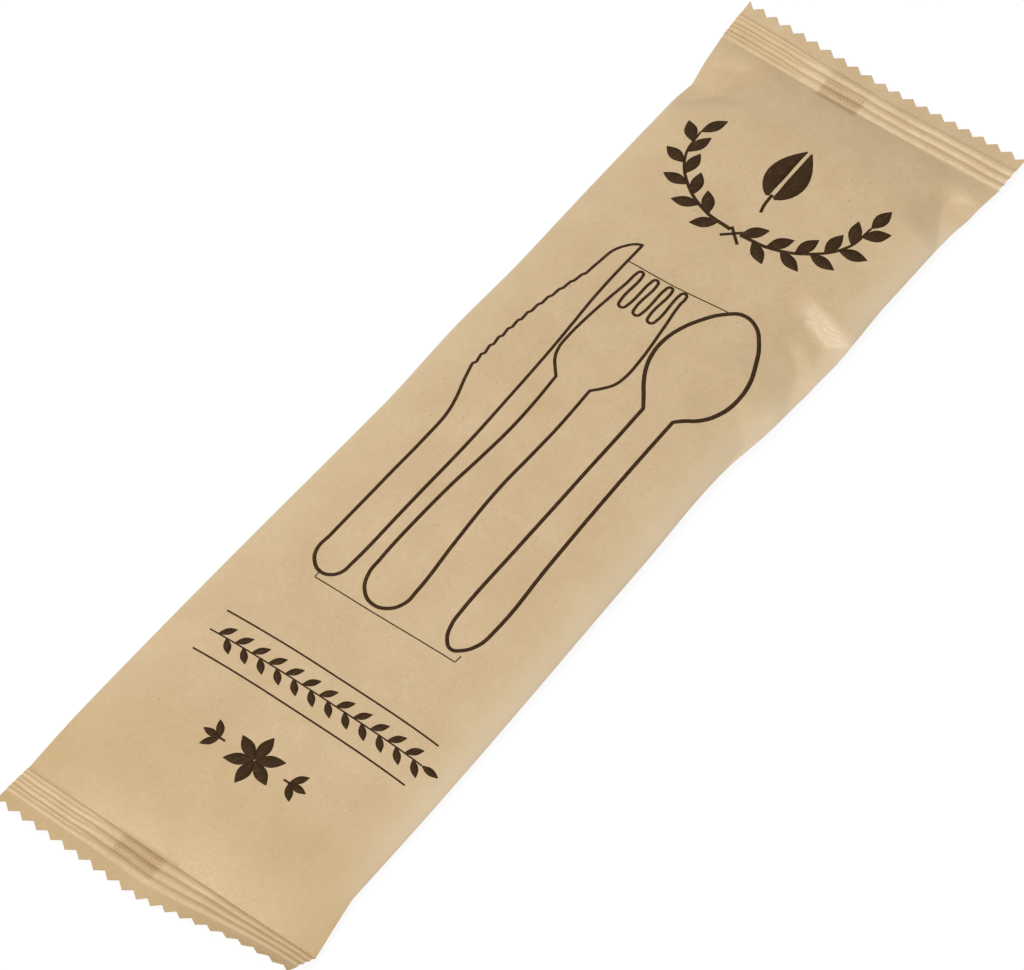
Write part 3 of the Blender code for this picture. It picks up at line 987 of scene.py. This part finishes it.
NAPKIN_AT_HEADS = ((49.85, 12.9), (49.95, 2.0), (51.25, -11.2))
NAPKIN_AT_HANDLES = (
    (-46.3, 17.4), (-47.65, 17.45, 1), (-47.6, 0.0), (-46.95, -16.55, 1), (-45.2, -16.7),
)


def draw_napkin(curve, shift):
    """What shows of the napkin under the three: its edges at their heads and at their handles."""
    add_line(curve, NAPKIN_AT_HEADS, NAPKIN_LINE, shift)
    add_line(curve, NAPKIN_AT_HANDLES, NAPKIN_LINE, shift)


# The sprays, the tie that they part from and the leaf between them, in millimetres. Sprays and tie
# are mirrored in the pack's middle
SPRAY = ((68.8, 1.2), (69.6, 8), (73.6, 15.5), (80, 20.5), (86.5, 21.5))
SPRAY_LINES = (0.9 * MM, 0.8 * MM, 0.7 * MM, 0.6 * MM, 0.5 * MM)
TIE = ((66.4, 2.2), (69.6, -1.4))
TIE_LINE = 0.7 * MM
LEAF_BASE, LEAF_MIDDLE = 80.0, -0.5
LEAF_LENGTH = 15.0
LEAF_HALF = 4.2
LEAF_MIDRIB = 0.35
LEAF_FULLNESS = 0.8  # below 1, the leaf is fullest nearer to its base
LEAF_ENDS = (0.03, 0.97)
LEAF_STEPS = 10
LEAF_STALK = ((LEAF_BASE - 4, -1.2), (LEAF_BASE - 2, -0.7), (LEAF_BASE + 1.2, LEAF_MIDDLE))


def draw_laurel(curve, shift):
    """Two leafy sprays that part from one tie and bend up round a single leaf."""
    for side in (1, -1):
        add_line(curve, [(x, side * y) for x, y in SPRAY], SPRAY_LINES, shift)


def draw_leaf(curve, shift):
    """A broad leaf in two filled halves, with bare paper for its midrib, and the sprays' tie."""
    for side in (1, -1):
        half, widths = [], []
        for step in range(LEAF_STEPS + 1):
            share = blend(*LEAF_ENDS, step / LEAF_STEPS)
            width = LEAF_HALF * math.sin(math.pi * share**LEAF_FULLNESS)
            aside = side * (LEAF_MIDRIB + width / 2) + LEAF_MIDDLE
            half.append((LEAF_BASE + LEAF_LENGTH * share, aside))
            widths.append(width * MM)
        add_line(curve, half, widths, shift)
        add_line(curve, [(x, side * y) for x, y in TIE], TIE_LINE, shift)
    add_line(curve, LEAF_STALK, TIE_LINE, shift)


# The border and the vine in it run across the pack between these, in millimetres
BORDER_LEFT, BORDER_RIGHT = 27, -25
BORDER_PLACES = (-63.2, -73.8)
BORDER_LINE = 0.4 * MM
VINE_PLACE = -68.5
VINE_LINE = 0.35 * MM


def draw_border(curve, shift):
    for x in BORDER_PLACES:
        add_line(curve, ((x, BORDER_LEFT), (x, 0), (x, BORDER_RIGHT)), BORDER_LINE, shift)


def draw_vine(curve, shift):
    stem = ((VINE_PLACE, BORDER_LEFT), (VINE_PLACE, 1), (VINE_PLACE, BORDER_RIGHT))
    add_line(curve, stem, VINE_LINE, shift)


# The flower and the sprigs beside it, in millimetres
FLOWER_X, FLOWER_Y = -87, 1
PETALS = 6
PETAL_LENGTH, PETAL_WIDTH = 6.2, 2.7
PETAL_ENDS = (0.02, 0.98)
SPRIG_START, SPRIG_FORK, SPRIG_END = 7.2, 8.4, 10
SPRIG_LINE = 0.5 * MM
SPRIG_ASIDE = (-52, 0, 52)  # headings of a sprig's leaves, in degrees
SPRIG_LEAF_LENGTH, SPRIG_LEAF_WIDTH = 4.2, 1.7


def add_petal(curve, x, y, heading, length, width, shift):
    """Adds a filled leaf that grows from a point, in millimetres, with its heading in degrees."""
    turn = math.radians(heading)
    shares = [blend(*PETAL_ENDS, step / LEAF_STEPS) for step in range(LEAF_STEPS + 1)]
    reach = [length * share for share in shares]
    points = [(x + r * math.cos(turn), y + r * math.sin(turn)) for r in reach]
    widths = [width * math.sin(math.pi * share) * MM for share in shares]
    add_line(curve, points, widths, shift)


def draw_rosette(curve, shift):
    """A flower of six petals between two sprigs."""
    for petal in range(PETALS):
        heading = 360 / PETALS * petal
        add_petal(curve, FLOWER_X, FLOWER_Y, heading, PETAL_LENGTH, PETAL_WIDTH, shift)
    for side in (1, -1):
        ends = [(FLOWER_X, FLOWER_Y + side * out) for out in (SPRIG_START, SPRIG_END)]
        add_line(curve, ends, SPRIG_LINE, shift)
        fork = FLOWER_Y + side * SPRIG_FORK
        for aside in SPRIG_ASIDE:
            heading = side * 90 + aside
            add_petal(curve, FLOWER_X, fork, heading, SPRIG_LEAF_LENGTH, SPRIG_LEAF_WIDTH, shift)


def make_print(paper, shift):
    ink = ink_tree(flexo_ink())
    leaves = leaf_tree()
    laurel = {
        "Spacing": 3.0 * MM, "Leaf length": 6.2 * MM, "Leaf width": 2.7 * MM,
        "Leaf angle": math.radians(40),
    }
    vine = {
        "Spacing": 2.0 * MM, "Leaf length": 3.9 * MM, "Leaf width": 1.5 * MM,
        "Leaf angle": math.radians(46),
    }
    for name, draw, leaf in (
        ("print_knife", draw_knife, None),
        ("print_fork", draw_fork, None),
        ("print_spoon", draw_spoon, None),
        ("print_napkin", draw_napkin, None),
        ("print_laurel", draw_laurel, laurel),
        ("print_border", draw_border, None),
        ("print_vine", draw_vine, vine),
        ("print_leaf", draw_leaf, None),
        ("print_rosette", draw_rosette, None),
    ):
        piece = print_piece(name, paper, ink, leaves, lambda curve: draw(curve, shift), leaf)
        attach(piece, "root")


# The photograph's camera: a long lens that looks down on the pack from the side of its print's
# lower right. Its frame is 1024 pixels wide, its focal length is in those pixels and its angles
# are in radians
CAMERA_FOCUS = 5000.0
FRAME_WIDTH = 1024
SENSOR_WIDTH = 36.0
CAMERA_HEADING = 0.894007
CAMERA_DROP = 0.972124
CAMERA_ROLL = 0.035719
CAMERA_DISTANCE = 994.552 * MM
CAMERA_TARGET = Vector((-4.4765 * MM, 1.4888 * MM, 0))


def make_camera():
    heading, drop, roll = CAMERA_HEADING, CAMERA_DROP, CAMERA_ROLL
    forward = Vector(
        (math.sin(heading) * math.cos(drop), math.cos(heading) * math.cos(drop), -math.sin(drop))
    )
    level = Vector((math.cos(heading), -math.sin(heading), 0))
    down = forward.cross(level)
    right = level * math.cos(roll) + down * math.sin(roll)
    down = down * math.cos(roll) - level * math.sin(roll)
    data = bpy.data.cameras.new("photo_camera")
    data.sensor_width = SENSOR_WIDTH
    data.lens = CAMERA_FOCUS * SENSOR_WIDTH / FRAME_WIDTH
    camera = bpy.data.objects.new("photo_camera", data)
    turn = Matrix((right, -down, -forward)).transposed()
    camera.matrix_world = Matrix.LocRotScale(CAMERA_TARGET - forward * CAMERA_DISTANCE, turn, None)
    bpy.context.scene.collection.objects.link(camera)
    bpy.context.scene.camera = camera


# The table and the light
FLOOR_SIZE = 6.0
FLOOR_DROP = 0.02 * MM
FLOOR_GLOW = 0.86  # share of plain white that the camera sees in the floor, beside its own shade
FLOOR_WHITE = 1.05
SKY_LEVEL = 0.50
KEY_POWER = 23.0
KEY_SIZE = 1.0
KEY_PLACE = Vector((-1.0, 0.32, 1.8))


def make_floor():
    """White seamless paper: a matt floor that keeps a soft shadow and looks white to the camera."""
    half = FLOOR_SIZE / 2
    corners = [(-half, -half, -FLOOR_DROP), (half, -half, -FLOOR_DROP), (half, half, -FLOOR_DROP),
               (-half, half, -FLOOR_DROP)]
    material = bpy.data.materials.new("white_seamless_paper")
    material.use_nodes = True
    tree = material.node_tree
    tree.nodes.clear()
    matt = add_node(tree, "ShaderNodeBsdfDiffuse", {"Color": linear("F4F4F4")})
    white = add_node(tree, "ShaderNodeEmission", {"Color": linear("FFFFFF"), "Strength": FLOOR_WHITE})
    path = add_node(tree, "ShaderNodeLightPath")
    seen = add_node(
        tree, "ShaderNodeMath",
        {0: path.outputs["Is Camera Ray"], 1: path.outputs["Is Glossy Ray"]}, operation="ADD",
    )
    seen = add_node(
        tree, "ShaderNodeMath", {0: seen.outputs[0], 1: path.outputs["Is Transmission Ray"]},
        operation="ADD",
    )
    share = add_node(
        tree, "ShaderNodeMath", {0: seen.outputs[0], 1: FLOOR_GLOW}, operation="MULTIPLY"
    )
    both = add_node(
        tree, "ShaderNodeMixShader", {0: share.outputs[0], 1: matt.outputs[0], 2: white.outputs[0]}
    )
    add_node(tree, "ShaderNodeOutputMaterial", {"Surface": both.outputs[0]})
    floor = new_mesh_object("floor", corners, [(0, 1, 2, 3)], material)


def make_light():
    world = bpy.data.worlds.new("soft_room")
    bpy.context.scene.world = world
    world.use_nodes = True
    sky = world.node_tree.nodes["Background"]
    sky.inputs["Color"].default_value = linear("FFFFFF")
    sky.inputs["Strength"].default_value = SKY_LEVEL
    data = bpy.data.lights.new("key", "AREA")
    data.shape = "SQUARE"
    data.size = KEY_SIZE
    data.energy = KEY_POWER
    key = bpy.data.objects.new("key", data)
    key.location = KEY_PLACE
    key.rotation_euler = (-KEY_PLACE).to_track_quat("-Z", "Y").to_euler()
    bpy.context.scene.collection.objects.link(key)


def main():
    bpy.context.scene.view_settings.view_transform = "Standard"
    make_camera()
    make_light()
    make_floor()
    paper, shift = make_paper()
    make_print(paper, shift)
    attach(paper, "root")
    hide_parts("sealed_kraft_pack")


main()
